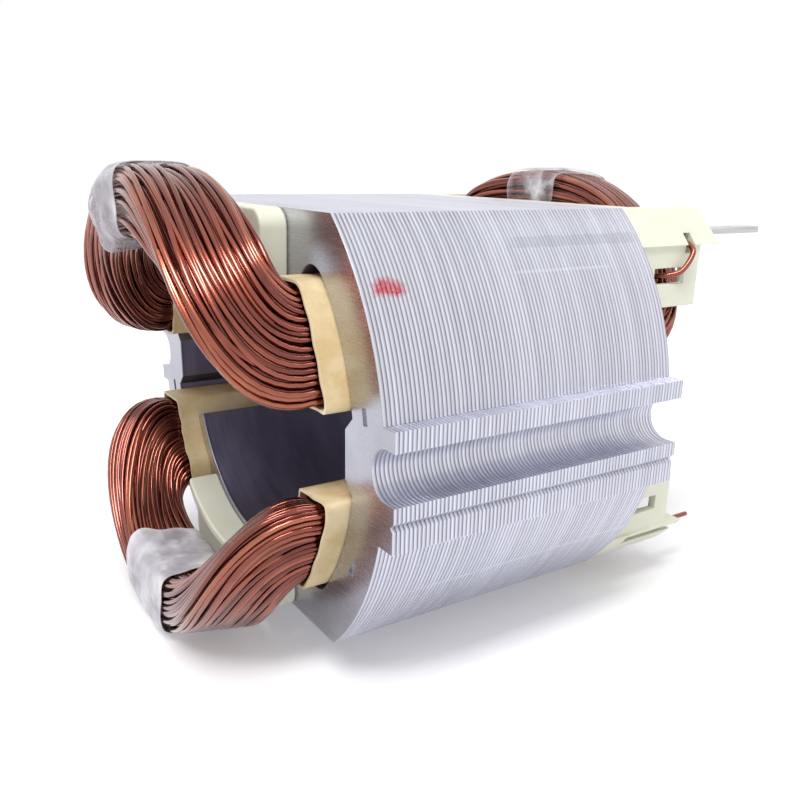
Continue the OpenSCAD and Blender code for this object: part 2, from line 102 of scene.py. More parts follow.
# Rounding at the two end faces, spread of how far single sheets lie back, limit of a corner's mitre
FACE_ROUND = 0.06
SHEET_SINK = 0.012
MITRE_LIMIT = 1.5

# Dab of red ink on the near round: two corners of its box
INK_LOW = (-18.6, -28.6, 16.1)
INK_HIGH = (-14.9, -26.2, 17.9)

# Lighter and darker streaks along the near round: two corners of each one's box, and its shade
STREAK_BOXES = (
    ((-1.0, -27.0, 19.8), (20.5, -22.0, 21.0), 0.4),
    ((-1.0, -29.0, 17.4), (14.0, -24.0, 17.7), 0.85),
    ((-14.0, -30.0, -16.2), (20.5, -24.0, -15.7), 0.85),
)

# Stamped interlock marks: distance outside the slot round, width, length, depth, and degrees above and
# below the horizontal on the near side; the far side is the near one turned half round
MARK_OUT = 2.5
MARK_R = SLOT_R + MARK_OUT
MARK_W = 0.8
MARK_L = 1.8
MARK_H = 0.3
MARK_UP = 9.8
MARK_DOWN = 25.3
MARK_ANGLES = (180 - MARK_UP, 180 + MARK_DOWN, 360 - MARK_UP, MARK_DOWN)

# Winding: room inside the slot liner, then the end turns
MOUTH_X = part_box("slot_liner_top_far")[1].x / MM
COIL_INSET = 0.6
SLOT_LOW = 4.6
LEG_LOW = SLOT_LOW + COIL_INSET
SLOT_DROP = 6.4
LEG_TOP = FLAT_Z - SLOT_DROP - COIL_INSET
LEG_R_IN = HORN_R + COIL_INSET
LEG_R_OUT = SLOT_R - COIL_INSET
CROWN_RISE = 0.2
CROWN_Z = FLAT_Z + CROWN_RISE
CROWN_W = 9.0
CROWN_T = 8.0
LONG_REACH = 15.0
INNER_REACH = 5.0
SHORT_REACH = 3.2
# Each end turn: distance out, half-width of its flat, lift of the longest and shortest turns, spread
FRONT_END = (6.7, 14.5, -1.5, 1.0, 0.15)
REAR_END = (6.0, 17.5, 1.0, 2.5, 0.25)
# Section of the bundle: sharpness of its corners, half-sizes, steps that it is measured in
CORNER_POWER = 5
SECTION_HALF = np.array([5.1, 3.3])
SECTION_STEPS = 720

# Wires: radius, sides, stations on an end turn, number of each kind, step between layers, core below them
WIRE_R = 0.31
WIRE_SIDES = 8
TURN_STATIONS = 45
TURN_Q = np.linspace(-1, 1, TURN_STATIONS)
OUTER_WIRES = 50
INNER_WIRES = 46
LOOSE_WIRES = 7
LAYER_STEP = 0.5
CORE_DEPTH = 1.1
CORE_SIDES = 40
# How the wires lie: half waves of their wandering on an end turn and what brings it to about 1, hold at
# the slot mouths, uneven spacing, span of sinking, then slant and depth of the loose ones
WANDER_WAVES = np.array([1.4, 2.9, 5.2])[:, None]
WANDER_SCALE = 1.4
MOUTH_HOLD = 0.75
SPACING_SPREAD = 0.15
SINK_SPAN = (-1.0, 0.6)
LOOSE_SLANT = 0.07
LOOSE_DEPTH = 0.12

# Slot paper: outer and inner wall as distances outside the winding, sharpness of its folds, rows counted
# from a cut end, and the cut's depth, unevenness and waves
PAPER_WALLS = (0.5, 0.2)
FOLD_POWER = 12
PAPER_AROUND = 160
PAPER_ROWS = np.array([0.0, 0.12, 0.5, 1.5, 3.5, MOUTH_X])[:, None]
CUT_DEPTH = 0.15
CUT_UNEVEN = 0.1
CUT_WAVES = (3, 11)

# Each tape: where it starts and ends on its end turn, as q, written in twelfths of the way to a mouth
TURN_STEPS = 12
FRONT_TOP_TAPE = (0.0, 3.2 / TURN_STEPS)
FRONT_BOTTOM_TAPE = (-2.6 / TURN_STEPS, 1.7 / TURN_STEPS)
REAR_TAPE = (-1.6 / TURN_STEPS, 1.1 / TURN_STEPS)
TAPE_SCALE = 1.075
TAPE_WRINKLE = 0.022
TAPE_CLING = 0.035
TAPE_T = 0.05
TAPE_AROUND = 120
TAPE_ALONG = 25
# Wrinkles round a tape and their slant, then its hems: place, unevenness, waves, loss of wrinkles there
WRINKLE_WAVES = (3, 5, 8, 13, 21)
WRINKLE_SLANT = 5
HEM_PLACE = 0.9
HEM_UNEVEN = 0.06
HEM_WAVES = (2, 7)
HEM_CALM = 0.7

# Rear insulators: posts, the screens below them, the lead windows, tabs, lead notches and gates
POST_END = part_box("rear_insulator_top")[1].x / MM
POST_H = 4.4
POST_FLOOR = FLAT_Z - POST_H
POST_GAP = 0.55
POST_INNER = np.sqrt(LEG_R_OUT**2 - LEG_TOP**2) + POST_GAP
SCREEN_H = 12.0
SCREEN_GAP = 0.85
SCREEN_Y = np.sqrt(LEG_R_OUT**2 - (FLAT_Z - SCREEN_H) ** 2) + SCREEN_GAP
SCREEN_T = 1.2
WINDOW_OUT = 3.25
WINDOW_X = MOUTH_X + WINDOW_OUT
WINDOW_DROP = 8.1
WINDOW_Z = FLAT_Z - WINDOW_DROP
TAB_INSET = 1.8
TAB_Y = POST_INNER + TAB_INSET
TAB_DROP = 3.0
TAB_Z = FLAT_Z - TAB_DROP
POCKET_HALF = 0.45
TAB_UNDER = TAB_Z - POCKET_HALF
NOTCH_BACK = 5.1
LEAD_NOTCH_X = POST_END - NOTCH_BACK
GATE_OUT = 4.8
GATE_X = STACK_END + GATE_OUT

# Leads: size, height on the coil, first drop below the window, free end, and where each one lies on the
# coil, as q and for the gate's lead also as u
LEAD_D = 0.7
LEAD_GAP = 0.3
LEAD_LIFT = 0.525
LEAD_DROP = 3.4
LEAD_OUT = 5.0
WINDOW_LEAD_Q = (-0.97, -0.9)
GATE_LEAD_Q = (-0.72, -0.68)
GATE_LEAD_U = 0.9
LEAD_SIDE = np.array([0.5, 1.0, -0.8])
LEAD_FACES = 14
LEAD_STEPS = 12
LEAD_TONE = 0.6

# Rounded edges of the insulators and tabs: width, steps, degrees from which an edge is rounded, then the
# gap within which corners are joined and the degrees within which faces are one
INSULATOR_ROUND = 0.35
TAB_ROUND = 0.12
ROUND_STEPS = 3
ROUND_FROM = 35
JOIN_GAP = 0.001
FLAT_WITHIN = 0.5

# Camera, in pixels of the picture: its width, the focal length, and how far the view is raised
PICTURE_WIDTH = 800
FOCAL_LENGTH = 826.4
RAISED_BY = 40


def mix(a, b, t):
    """Value a share t of the way from a to b."""
    return a + (b - a) * t


def quads(rows, cols, wrap_rows=False, wrap_cols=True, first=0):
    """Quads of a grid of points, row by row; a wrapped side joins its last line to its first."""
    i = np.arange(rows if wrap_rows else rows - 1)[:, None]
    k = np.arange(cols if wrap_cols else cols - 1)[None, :]
    j = (i + 1) % rows
    m = (k + 1) % cols
    corners = (i * cols + k, i * cols + m, j * cols + m, j * cols + k)
    return first + np.stack(corners, -1).reshape(-1, 4)


def facing_out(faces, to_place):
    """Faces in the order that keeps them facing out when their piece is mirrored into its place."""
    return faces[:, ::-1] if np.prod(to_place) < 0 else faces


def uneven(share, waves):
    """Seeded waving round an edge: a long sine and a short one of half its height."""
    phase = rng.uniform(0, 2 * np.pi, 2)
    long_wave, short_wave = (np.sin(2 * np.pi * turns * share + at) for turns, at in zip(waves, phase))
    return long_wave + 0.5 * short_wave


def add_piece(name, points, faces, finishes, node, face_finish=None, tone=None, sharp=30.0):
    """Fills a mesh with points in millimetres, puts it on the frame and hides its CAD node."""
    mesh = bpy.data.meshes.new(name)
    mesh.from_pydata((points * MM).tolist(), [], [f for part in faces for f in part.tolist()])
    for finish in finishes:
        mesh.materials.append(finish)
    if face_finish is not None:
        mesh.polygons.foreach_set("material_index", face_finish.astype(np.int32))
    if tone is not None:
        layer = mesh.attributes.new("tone", "FLOAT", "POINT")
        layer.data.foreach_set("value", tone.astype(np.float32))
    mesh.shade_smooth()
    mesh.set_sharp_from_angle(angle=np.radians(sharp))
    made = bpy.data.objects.new(name, mesh)
    bpy.context.scene.collection.objects.link(made)
    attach(made, "root")
    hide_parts(node)
    return made


# Sheet stack


def arc(middle, radius, start, stop, step=4.0):
    """Points [y, z] of a circle's arc between two angles in degrees, both ends included."""
    count = max(2, int(np.ceil(abs(stop - start) / step)) + 1)
    angle = np.radians(np.linspace(start, stop, count))
    return np.stack([middle[0] + radius * np.cos(angle), middle[1] + radius * np.sin(angle)], -1)


def sheet_outline():
    """Outer edge of a sheet: the near half from the top flat down, then that half turned half round."""
    flat = np.degrees(np.arcsin(FLAT_Z / STACK_R))
    rib = np.degrees(np.arcsin(RIB_HALF / STACK_R))
    lug_low = RIB_HALF + LUG_W
    lug = np.degrees(np.arcsin(lug_low / STACK_R))
    notch_foot = RIB_HALF + NOTCH - (RIB_FACE - LUG_FACE)
    half = np.concatenate([
        arc((0, 0), STACK_R, 180 - flat, 180 - rib),
        [[-RIB_FACE, RIB_HALF], [-RIB_FACE, GROOVE_ROUND]],
        arc((-GROOVE_MID, 0), GROOVE_ROUND, 90, -90, step=10),
        [[-RIB_FACE, -GROOVE_ROUND], [-RIB_FACE, NOTCH - RIB_HALF], [NOTCH - RIB_FACE, -RIB_HALF]],
        [[-LUG_FACE, -notch_foot], [-LUG_FACE, -lug_low]],
        arc((0, 0), STACK_R, 180 + lug, 180 + flat),
    ])
    return np.concatenate([half, -half])


def bore_and_slots():
    """Inner edge of a sheet: bore, horn, slot corner, slot and yoke bump of the near upper quarter,
    mirrored below, then both turned half round to the far side."""
    fillet = np.degrees(np.arctan2(FILLET_Z, FILLET_Y))
    horn = np.degrees(np.arccos(POLE_HALF / HORN_R))
    both = BUMP_FACE + GROOVE_ROUND
    foot = (np.sqrt(both**2 - 2 * (BUMP_FACE**2 + GROOVE_ROUND**2 - SLOT_R**2)) - both) / 2
    bump = np.degrees(np.arctan2(GROOVE_ROUND + foot, BUMP_FACE + foot))
    upper = np.concatenate([
        arc((0, 0), BORE_R, 90, 180 - TIP_ANGLE),
        arc((0, 0), HORN_R, 180 - TIP_ANGLE, 180 - horn),
        arc((-FILLET_Y, FILLET_Z), SLOT_FILLET, 0, 180 - fillet, step=12),
        arc((0, 0), SLOT_R, 180 - fillet, 180 - bump)[1:],
        [[-BUMP_FACE, GROOVE_ROUND]],
    ])
    near = np.concatenate([upper, upper[::-1] * [1, -1]])[:-1]
    return np.concatenate([near, -near])


def edge_normals(loop):
    """Outward normals of a loop taken anticlockwise, mitred so that offsets keep their depth."""
    along = np.roll(loop, -1, 0) - loop
    along /= np.linalg.norm(along, axis=1, keepdims=True)
    out = np.stack([along[:, 1], -along[:, 0]], -1)
    mitre = out + np.roll(out, 1, 0)
    length = np.linalg.norm(mitre, axis=1, keepdims=True)
    return mitre / length * np.minimum(2 / length, MITRE_LIMIT)


def sheet_rings(loop, into_steel, steps, sinks):
    """The loop carried along X, dipping into the steel between sheets and a little for each sheet."""
    x = (np.arange(SHEET_COUNT)[:, None] + steps[None, :, 0]).ravel() * SHEET_T - STACK_END
    dip = np.tile(steps[:, 1], SHEET_COUNT) + np.repeat(sinks, len(steps))
    x = np.append(x, STACK_END)
    dip = np.append(dip, FACE_ROUND)
    dip[0] = FACE_ROUND
    flat = loop + into_steel * edge_normals(loop) * dip[:, None, None]
    return np.concatenate([np.broadcast_to(x[:, None, None], flat.shape[:2] + (1,)), flat], -1)


def interlock_marks():
    """Corners [y, z] of the four stamped marks, each a small rectangle along the yoke."""
    angle = np.radians(MARK_ANGLES)
    out = np.stack([np.cos(angle), np.sin(angle)], -1)
    along = np.stack([-np.sin(angle), np.cos(angle)], -1)
    radial = np.array([-1, 1, 1, -1]) * MARK_W / 2
    side = np.array([-1, -1, 1, 1]) * MARK_L / 2
    return out[:, None] * (MARK_R + radial[:, None]) + along[:, None] * side[:, None]


def end_face(loops):
    """Triangles between a sheet's outer edge, its inner edge and its marks, all anticlockwise in
    [y, z] so that they face the rear."""
    points = np.concatenate(loops)
    faces = np.array(tessellate_polygon([[Vector(p) for p in loop] for loop in loops]))
    a, b, c = (points[faces[:, k]] for k in range(3))
    area = (b[:, 0] - a[:, 0]) * (c[:, 1] - a[:, 1]) - (b[:, 1] - a[:, 1]) * (c[:, 0] - a[:, 0])
    return np.where(area[:, None] < 0, faces[:, ::-1], faces)


def build_stack(edge_finish, face_finish, bore_shade_finish):
    """Outer and inner walls swept sheet by sheet, closed by two faces with stamped marks: dents at
    the front, the same marks standing proud at the rear."""
    sinks = np.abs(rng.normal(0, SHEET_SINK, SHEET_COUNT))
    outer = sheet_rings(sheet_outline(), -1, EDGE_STEPS, sinks)
    inner = sheet_rings(bore_and_slots(), 1, BORE_STEPS, sinks)
    marks = interlock_marks()
    points = [outer.reshape(-1, 3), inner.reshape(-1, 3)]
    outer_ids, inner_ids = (np.arange(len(part)) for part in points)
    inner_ids = (inner_ids + len(outer_ids)).reshape(inner.shape[:2])
    outer_ids = outer_ids.reshape(outer.shape[:2])
    faces = [quads(*outer_ids.shape), quads(*inner_ids.shape, first=inner_ids[0, 0])[:, ::-1]]
    outer_count = len(faces[0])
    wall_count = outer_count + len(faces[1])
    start = inner_ids[-1, -1] + 1
    for end, x in ((0, -STACK_END), (-1, STACK_END)):
        rim, floor = (
            np.concatenate([np.full(marks.shape[:2] + (1,), station), marks], -1)
            for station in (x, x + MARK_H)
        )
        points.extend([rim.reshape(-1, 3), floor.reshape(-1, 3)])
        rim_ids = start + np.arange(marks.shape[0] * 4).reshape(-1, 4)
        floor_ids = rim_ids + rim_ids.size
        start += 2 * rim_ids.size
        ids = np.concatenate([outer_ids[end], inner_ids[end], rim_ids.ravel()])
        caps = ids[end_face([outer[end, :, 1:], inner[end, :, 1:], *marks])]
        walls = np.stack([rim_ids, np.roll(rim_ids, -1, 1), np.roll(floor_ids, -1, 1), floor_ids], -1)
        parts = [caps, walls.reshape(-1, 4), floor_ids]
        faces.extend(part if end else part[:, ::-1] for part in parts)
    total = sum(len(part) for part in faces)
    which = np.where(np.arange(total) < outer_count, 0, np.where(np.arange(total) < wall_count, 2, 1))
    return add_piece(
        "sheet_stack", np.concatenate(points), faces, (edge_finish, face_finish, bore_shade_finish),
        "lamination_stack", face_finish=which, sharp=24.0,
    )


# Winding: u runs across the bundle from the longest turn to the shortest, v through it from
# the bore side to the yoke side, q along an end turn from -1 at the near mouth to 1 at the far


def slot_end(r, outside=0.0):
    """Angle of the slot's closed end at radius r: along the pole side, then round the corner."""
    inset = COIL_INSET - outside
    side = POLE_HALF + inset
    middle = SLOT_R - SLOT_FILLET
    rounding = SLOT_FILLET - inset
    reach = np.clip((r**2 + middle**2 - rounding**2) / (2 * r * middle), -1, 1)
    corner = np.arctan2(FILLET_Z, FILLET_Y) + np.arccos(reach)
    return np.where(r < np.hypot(side, FILLET_Z), np.arccos(np.minimum(1, side / r)), corner)


def leg_high(r, outside=0.0):
    """Angle of the winding's upper edge at radius r."""
    return np.minimum(np.arcsin(np.minimum(1, (LEG_TOP + outside) / r)), slot_end(r, outside))


def leg_point(u, v, outside=0.0):
    """Place [y, z] in the far upper slot, on the winding or a distance outside it: v sets the radius, u
    the angle between the two ends."""
    outer = LEG_R_OUT + outside
    r = mix(LEG_R_IN - outside, outer, v)
    angle = mix(np.arcsin((LEG_LOW - outside) / r), leg_high(np.minimum(r, outer), outside), u)
    return r * np.cos(angle), r * np.sin(angle)


def turn_point(u, v, q, end):
    """Cubic curve from the slot's mouth straight out, then up and over to the crown's middle; the
    bundle widens on the way."""
    t = 1 - np.abs(q)
    out, flat, long_lift, short_lift, spread = end
    w = 0.5 + (u - 0.5) * (1 + 4 * t * (1 - t) * spread)
    leg_y, leg_z = leg_point(w, v)
    end_x = MOUTH_X + out - (w - 0.5) * CROWN_W
    end_z = CROWN_Z + (v - 0.5) * CROWN_T
    reach = mix(mix(INNER_REACH, LONG_REACH, v), SHORT_REACH, w)
    lift = mix(long_lift, short_lift, w)
    a = (1 - t) ** 3
    b = 3 * (1 - t) ** 2 * t
    c = 1 - a - b
    d = 3 * (1 - t) * t**2
    x = a * MOUTH_X + b * (MOUTH_X + reach) + c * end_x
    y = np.where(q < 0, -1, 1) * ((a + b) * leg_y + d * flat)
    z = a * leg_z + b * (leg_z + lift) + c * end_z
    return np.stack(np.broadcast_arrays(x, y, z), -1)


def section_point(share, depth, power=CORNER_POWER):
    """Place (u, v) at a share of the way round the bundle's section, depth below it; the section is a
    circle squared off by the power, stretched to its half-sizes and measured in equal lengths."""
    angle = np.linspace(0, 2 * np.pi, SECTION_STEPS + 1)
    loop = np.stack([np.cos(angle), np.sin(angle)], -1)
    loop /= (np.abs(loop) ** power).sum(1, keepdims=True) ** (1 / power)
    step = np.linalg.norm(np.diff(loop * SECTION_HALF, axis=0), axis=1)
    way = np.append(0, np.cumsum(step)) / step.sum()
    spots = [np.interp(share % 1, way, loop[:, k]) * (1 - depth / SECTION_HALF[k]) for k in range(2)]
    return (1 + spots[0]) / 2, (1 + spots[1]) / 2


def winding_loop(u, v):
    """Closed loop along the rear end turn from near to far, then back along the front one."""
    rear = turn_point(u[..., 0, :], v[..., 0, :], TURN_Q, REAR_END)
    front = turn_point(u[..., 1, :], v[..., 1, :], -TURN_Q, FRONT_END) * [-1, 1, 1]
    return np.concatenate([rear, front], -2)


def wander(count):
    """Smooth seeded wandering along each end turn: three sines of random phase, about 1 high."""
    phase = rng.uniform(0, 2 * np.pi, (count, 2, len(WANDER_WAVES), 1))
    sines = np.sin(WANDER_WAVES * np.pi / 2 * TURN_Q + phase) / np.sqrt(WANDER_WAVES)
    return sines.sum(-2) / WANDER_SCALE


def layer_paths(count, depth, drift, sink):
    """Wires laid side by side round the section; they drift sideways and sink here and there."""
    free = 1 - MOUTH_HOLD * TURN_Q**4
    around = SECTION_HALF.sum() * 4
    start = (np.arange(count) + rng.uniform(-SPACING_SPREAD, SPACING_SPREAD, count)) / count
    share = start[:, None, None] + wander(count) * free * drift / around
    low = depth + sink * np.clip(wander(count) + rng.uniform(*SINK_SPAN, (count, 1, 1)), 0, 2)
    return winding_loop(*section_point(share, low))


def loose_paths(count):
    """Wires that lie slantwise over the others between slot and crown, and sink at both."""
    start = rng.uniform(0, 1, (count, 1, 1))
    lean = rng.uniform(-LOOSE_SLANT, LOOSE_SLANT, (count, 2, 1))
    slant = lean * np.sin(np.pi * TURN_Q) * np.sign(TURN_Q)
    lift = np.sin(np.pi * np.abs(TURN_Q)) ** 2
    depth = mix(WIRE_R + LAYER_STEP, LOOSE_DEPTH, lift) + np.zeros((count, 2, 1))
    return winding_loop(*section_point(start + slant, depth))


def tubes(paths, radius, sides, side_hint, closed=True):
    """Round tubes along many paths: a circle square to the path at each station, set out from a
    direction square to the path and to the hint."""
    count, stations = paths.shape[:2]
    if closed:
        along = np.roll(paths, -1, 1) - np.roll(paths, 1, 1)
    else:
        along = np.gradient(paths, axis=1)
    along /= np.linalg.norm(along, axis=-1, keepdims=True)
    side = np.cross(along, side_hint)
    side /= np.linalg.norm(side, axis=-1, keepdims=True)
    up = np.cross(side, along)
    angle = np.linspace(0, 2 * np.pi, sides, endpoint=False)[:, None]
    rings = np.cos(angle) * side[:, :, None] + np.sin(angle) * up[:, :, None]
    points = paths[:, :, None] + radius * rings
    faces = quads(stations, sides, wrap_rows=closed)
    each = np.arange(count)[:, None, None] * stations * sides
    return points.reshape(-1, 3), (faces[None] + each).reshape(-1, 4)[:, ::-1]


def build_coil(name, finish, half_turn):
    """Two layers of separate wires and a few loose ones over a plain core, all on the same curves."""
    points, faces, tone = [], [], []
    start = 0
    layers = (
        (layer_paths(OUTER_WIRES, WIRE_R, drift=0.5, sink=0.4), OUTER_WIRES),
        (layer_paths(INNER_WIRES, WIRE_R + LAYER_STEP, drift=0.4, sink=0.2), INNER_WIRES),
        (loose_paths(LOOSE_WIRES), LOOSE_WIRES),
    )
    for paths, count in layers:
        outward = paths - paths.mean(1, keepdims=True)
        wire_points, wire_faces = tubes(paths, WIRE_R, WIRE_SIDES, outward)
        points.append(wire_points)
        faces.append(wire_faces + start)
        tone.append(np.repeat(rng.uniform(0, 1, count), len(wire_points) // count))
        start += len(wire_points)
    share = np.broadcast_to(
        np.arange(CORE_SIDES)[:, None, None] / CORE_SIDES, (CORE_SIDES, 2, TURN_STATIONS)
    )
    core = winding_loop(*section_point(share, CORE_DEPTH)).transpose(1, 0, 2)
    points.append(core.reshape(-1, 3))
    faces.append(quads(*core.shape[:2], wrap_rows=True, first=start))
    tone.append(np.zeros(core.shape[0] * core.shape[1]))
    points = np.concatenate(points) * half_turn
    return add_piece(
        f"wound_{name}", points, faces, (finish,), name,
        tone=np.concatenate(tone), sharp=80.0,
    )


def build_tape(name, finish, end, reach, to_place):
    """Film band round an end turn: the section's loop, a little larger and wrinkled by slanting sines,
    carried along q between two uneven hems that lie closer to the wires."""
    share = np.linspace(0, 1, TAPE_AROUND, endpoint=False)[:, None]
    way = np.linspace(-1, 1, TAPE_ALONG)[None, :]
    wrinkles = np.zeros((TAPE_AROUND, TAPE_ALONG))
    for turns in WRINKLE_WAVES:
        phase = rng.uniform(0, 2 * np.pi)
        slant = rng.uniform(-WRINKLE_SLANT, WRINKLE_SLANT)
        wrinkles += np.sin(2 * np.pi * turns * share + slant * way + phase) / np.sqrt(turns)
    wrinkles /= np.abs(wrinkles).max()
    hems = [side * HEM_PLACE + HEM_UNEVEN * uneven(share, HEM_WAVES) for side in (-1, 1)]
    q = mix(*reach, (1 + mix(*hems, (1 + way) / 2)) / 2)
    cling = way**4
    u, v = section_point(share, 0.0)
    shells = []
    for lift in (0.0, -TAPE_T / SECTION_HALF[1]):
        scale = TAPE_SCALE - TAPE_CLING * cling + TAPE_WRINKLE * (1 - HEM_CALM * cling) * wrinkles + lift
        shells.append(turn_point(0.5 + (u - 0.5) * scale, 0.5 + (v - 0.5) * scale, q, end))
    rings = np.concatenate([shells[0].transpose(1, 0, 2), shells[1].transpose(1, 0, 2)[::-1]])
    faces = facing_out(quads(*rings.shape[:2], wrap_rows=True), to_place)
    hem = np.concatenate([way[0], way[0, ::-1]])
    return add_piece(
        f"film_{name}", rings.reshape(-1, 3) * to_place, [faces], (finish,), name,
        tone=np.repeat(np.abs(hem), TAPE_AROUND), sharp=60.0,
    )


def build_liner(name, finish, to_place):
    """Paper tube of a slot: an outer and an inner wall, each the slot's outline with folded round
    corners, carried along the bore between two unevenly cut ends."""
    share = np.linspace(0, 1, PAPER_AROUND, endpoint=False)
    u, v = section_point(share, 0.0, FOLD_POWER)
    ends = []
    for side in (-1, 1):
        cut = CUT_DEPTH + CUT_UNEVEN * uneven(share, CUT_WAVES)
        ends.append(side * (MOUTH_X - PAPER_ROWS - cut * np.exp(-PAPER_ROWS)))
    x = np.concatenate([ends[0], ends[1][-2::-1]])
    walls = []
    for outside in PAPER_WALLS:
        y, z = leg_point(u, v, outside)
        walls.append(np.stack(np.broadcast_arrays(x, y, z), -1))
    rings = np.concatenate([walls[0], walls[1][::-1]])
    faces = facing_out(quads(*rings.shape[:2], wrap_rows=True)[:, ::-1], to_place)
    cut_row = np.zeros(len(x))
    cut_row[[0, -1]] = 1.0
    return add_piece(
        f"folded_{name}", rings.reshape(-1, 3) * to_place, [faces], (finish,), name,
        tone=np.repeat(np.tile(cut_row, 2), PAPER_AROUND), sharp=50.0,
    )


# Leads, insulators and tabs


def smooth_path(spots):
    """Path through spots: each span is a cubic that leaves along the line between its neighbours."""
    spots = np.array(spots)
    ends = np.concatenate([spots[:1], spots, spots[-1:]])
    slope = (ends[2:] - ends[:-2])[:, None] / 2
    t = np.linspace(0, 1, LEAD_STEPS, endpoint=False)[None, :, None]
    leave = (1 - t) ** 2 * ((1 + 2 * t) * spots[:-1, None] + t * slope[:-1])
    arrive = t**2 * ((3 - 2 * t) * spots[1:, None] - (1 - t) * slope[1:])
    return np.concatenate([(leave + arrive).reshape(-1, 3), spots[-1:]])


def lead_start(u, stations):
    """Places where a lead lies on the outer layer of the rear end turn, near side."""
    v = 1 + LEAD_LIFT / (LEG_R_OUT - LEG_R_IN)
    return [turn_point(u, v, np.array(q), REAR_END) for q in stations]


def tab_lead_path():
    """Out through the screen's window, up beside the screen and in under the tab."""
    r = LEG_R_OUT + LEAD_LIFT
    low = np.arcsin(LEG_LOW / r)
    u = (np.arcsin((WINDOW_Z - LEAD_DROP) / r) - low) / (leg_high(LEG_R_OUT) - low)
    outside = -SCREEN_Y - SCREEN_T - LEAD_D
    return smooth_path(lead_start(u, WINDOW_LEAD_Q) + [
        (WINDOW_X - LEAD_D, LEAD_D - SCREEN_Y, WINDOW_Z - LEAD_D / 2),
        (WINDOW_X, -SCREEN_Y - SCREEN_T / 2, WINDOW_Z),
        (WINDOW_X + 2 * LEAD_D, outside, WINDOW_Z + LEAD_D),
        (LEAD_NOTCH_X - LEAD_GAP / 2, outside, POST_FLOOR - LEAD_D),
        (LEAD_NOTCH_X, -SCREEN_Y, TAB_UNDER - 0.75 * LEAD_D),
        (LEAD_NOTCH_X, -TAB_Y, TAB_UNDER - LEAD_D / 2),
    ])


def bare_lead_path():
    """Out through the gate in the post, then along its side channel and free past its end."""
    channel = -TAB_Y - LEAD_D / 2
    return smooth_path(lead_start(GATE_LEAD_U, GATE_LEAD_Q) + [
        (GATE_X, LEAD_D - POST_INNER, TAB_Z),
        (GATE_X, -POST_INNER, TAB_Z),
        (GATE_X + LEAD_D / 2, -TAB_Y, TAB_Z),
        (GATE_X + 4 * LEAD_D, channel, TAB_Z),
        (POST_END, channel, TAB_Z),
        (POST_END + LEAD_OUT, channel, TAB_Z),
    ])


def build_lead(name, finish, path, to_place):
    """Round wire along its path, closed at both ends."""
    points, walls = tubes(path[None], LEAD_D / 2, LEAD_FACES, LEAD_SIDE, closed=False)
    ring = np.arange(LEAD_FACES)[None, :]
    ends = [ring, ring[:, ::-1] + len(points) - LEAD_FACES]
    faces = [facing_out(part, to_place) for part in (walls, *ends)]
    return add_piece(
        f"drawn_{name}", points * to_place, faces, (finish,), name,
        tone=np.full(len(points), LEAD_TONE), sharp=60.0,
    )


def soften(name, rounding, finish):
    """Copy of a drawn piece with its doubled corners joined and its edges rounded."""
    work = bmesh.new()
    work.from_mesh(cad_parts[name].data)
    bmesh.ops.remove_doubles(work, verts=work.verts, dist=JOIN_GAP * MM)
    flat = np.radians(FLAT_WITHIN)
    bmesh.ops.dissolve_limit(work, angle_limit=flat, verts=work.verts, edges=work.edges)
    work.verts.index_update()
    points = np.array([vert.co for vert in work.verts]) / MM
    faces = [np.array([[vert.index for vert in face.verts]]) for face in work.faces]
    work.free()
    made = add_piece(f"soft_{name}", points, faces, (finish,), name, sharp=180.0)
    bevel = made.modifiers.new("rounding", "BEVEL")
    bevel.width = rounding * MM
    bevel.segments = ROUND_STEPS
    bevel.limit_method = "ANGLE"
    bevel.angle_limit = np.radians(ROUND_FROM)
    bevel.harden_normals = True
    return made


# Finishes


